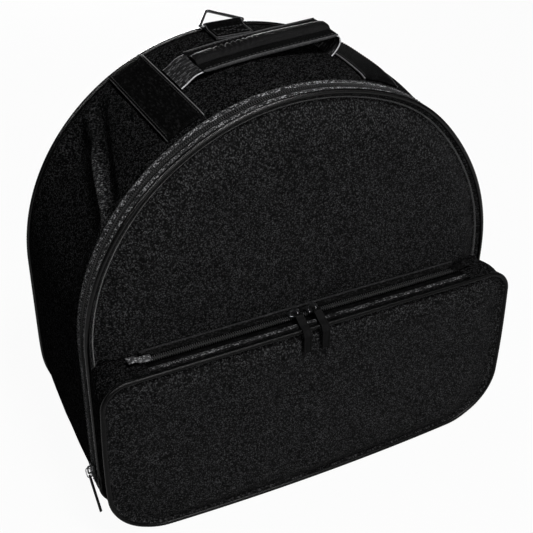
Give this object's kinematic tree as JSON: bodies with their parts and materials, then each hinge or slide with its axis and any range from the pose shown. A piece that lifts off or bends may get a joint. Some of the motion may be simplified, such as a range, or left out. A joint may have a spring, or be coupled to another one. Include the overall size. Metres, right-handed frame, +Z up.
{
  "type": "snare drum backpack",
  "caption": "Padded D-shaped backpack for a snare drum, with a zipped front lid, a zipped accessory pocket, a carrying handle, a hanging ring and shoulder straps",
  "frame": {"origin": "on the floor, on the flat bottom of the bag, under the middle of the drum compartment", "axes": "+Z up from the flat bottom to the handle; -Y towards the lid and its pocket, +Y towards the wearer's back; +X across the bag, to the right as seen from the front"},
  "size_m": [0.4306, 0.264, 0.4094],
  "materials": {
    "front_nylon": "coarse woven nylon, near black, matte",
    "side_nylon": "plain woven nylon, black, matte",
    "foam": "closed-cell foam padding bonded to its cloth, charcoal",
    "plush": "short-pile plush lining, dark grey",
    "piping": "ribbed tape over a round cord, black, slight sheen",
    "webbing": "woven nylon webbing, black",
    "zip_tape": "woven zip tape, black",
    "zip_coil": "nylon coil teeth, black",
    "dark_metal": "zinc alloy, dark grey enamel",
    "pull_rubber": "moulded soft pull, dark grey",
    "ring_steel": "plated steel wire, grey",
    "grip": "padded ribbed sleeve, black",
    "buckle": "moulded acetal, black"
  },
  "bodies": {
    "bag": {"body_gusset_cover": "side_nylon", "body_gusset_foam": "foam", "body_gusset_lining": "plush", "back_cover": "front_nylon", "back_foam": "foam", "back_lining": "plush", "back_piping": "piping", "body_zip_tape": "zip_tape", "body_zip_coil": "zip_coil", "hinge_strip": "side_nylon", "band_left": "webbing", "band_right": "webbing", "ring_tab": "webbing", "strap_yoke": "webbing", "strap_anchor_left": "webbing", "strap_anchor_right": "webbing", "strap_webbing_left": "webbing", "strap_webbing_right": "webbing"},
    "lid": {"lid_cover": "front_nylon", "lid_foam": "foam", "lid_lining": "plush", "lid_piping": "piping", "lid_rim": "zip_tape", "lid_fold": "side_nylon", "lid_zip_coil": "zip_coil", "pocket_front": "front_nylon", "pocket_wall": "side_nylon", "pocket_piping": "piping", "pocket_zip_tape_front": "zip_tape", "pocket_zip_tape_back": "zip_tape", "pocket_coil_front": "zip_coil", "pocket_coil_back": "zip_coil", "pocket_zip_end_left": "webbing", "pocket_zip_end_right": "webbing"},
    "main_slider": {"main_zip_slider": "dark_metal"},
    "main_pull": {"main_pull_link": "dark_metal", "main_pull_tab": "pull_rubber"},
    "pocket_slider_l": {"pocket_slider_left": "dark_metal"},
    "pocket_slider_r": {"pocket_slider_right": "dark_metal"},
    "pocket_pull_l": {"pocket_link_left": "dark_metal", "pocket_pull_left": "pull_rubber"},
    "pocket_pull_r": {"pocket_link_right": "dark_metal", "pocket_pull_right": "pull_rubber"},
    "handle": {"handle_grip": "grip", "handle_webbing": "webbing"},
    "ring": {"triangle_ring": "ring_steel"},
    "strap_left": {"strap_pad_left": "side_nylon", "strap_tape_left": "webbing", "ladder_lock_left": "buckle"},
    "strap_right": {"strap_pad_right": "side_nylon", "strap_tape_right": "webbing", "ladder_lock_right": "buckle"}
  },
  "joints": [
    {"name": "lid_hinge", "type": "hinge", "parent": "bag", "child": "lid", "pos_m": [0, -0.0755, 0], "axis": [1, 0, 0], "range_deg": [0, 85]},
    {"name": "main_slider_run", "type": "slide", "parent": "bag", "child": "main_slider", "axis": [0, 0, 1], "range_m": [0, 0.13]},
    {"name": "main_pull_swing", "type": "hinge", "parent": "main_slider", "child": "main_pull", "pos_m": [-0.2153, -0.0755, 0.044], "axis": [0, 0, -1], "range_deg": [0, 170]},
    {"name": "pocket_slider_left_run", "type": "slide", "parent": "lid", "child": "pocket_slider_l", "axis": [-1, 0, 0], "range_m": [0, 0.1335]},
    {"name": "pocket_slider_right_run", "type": "slide", "parent": "lid", "child": "pocket_slider_r", "axis": [1, 0, 0], "range_m": [0, 0.1495]},
    {"name": "pocket_pull_left_swing", "type": "hinge", "parent": "pocket_slider_l", "child": "pocket_pull_l", "pos_m": [-0.0175, -0.1105, 0.1907], "axis": [-1, 0, 0], "range_deg": [0, 105]},
    {"name": "pocket_pull_right_swing", "type": "hinge", "parent": "pocket_slider_r", "child": "pocket_pull_r", "pos_m": [0.0015, -0.1105, 0.1907], "axis": [-1, 0, 0], "range_deg": [0, 105]},
    {"name": "handle_lift", "type": "slide", "parent": "bag", "child": "handle", "axis": [0, 0, 1], "range_m": [0, 0.018], "deforming": ["handle_webbing"]},
    {"name": "ring_swing", "type": "hinge", "parent": "bag", "child": "ring", "pos_m": [0.002, 0.0815, 0.39525], "axis": [1, 0, 0], "range_deg": [0, 165]},
    {"name": "strap_left_swing", "type": "hinge", "parent": "bag", "child": "strap_left", "pos_m": [-0.048, 0.0951, 0.304], "axis": [1, 0, 0], "range_deg": [0, 25], "deforming": ["strap_webbing_left"]},
    {"name": "strap_right_swing", "type": "hinge", "parent": "bag", "child": "strap_right", "pos_m": [0.048, 0.0951, 0.304], "axis": [1, 0, 0], "range_deg": [0, 25], "deforming": ["strap_webbing_right"]}
  ]
}
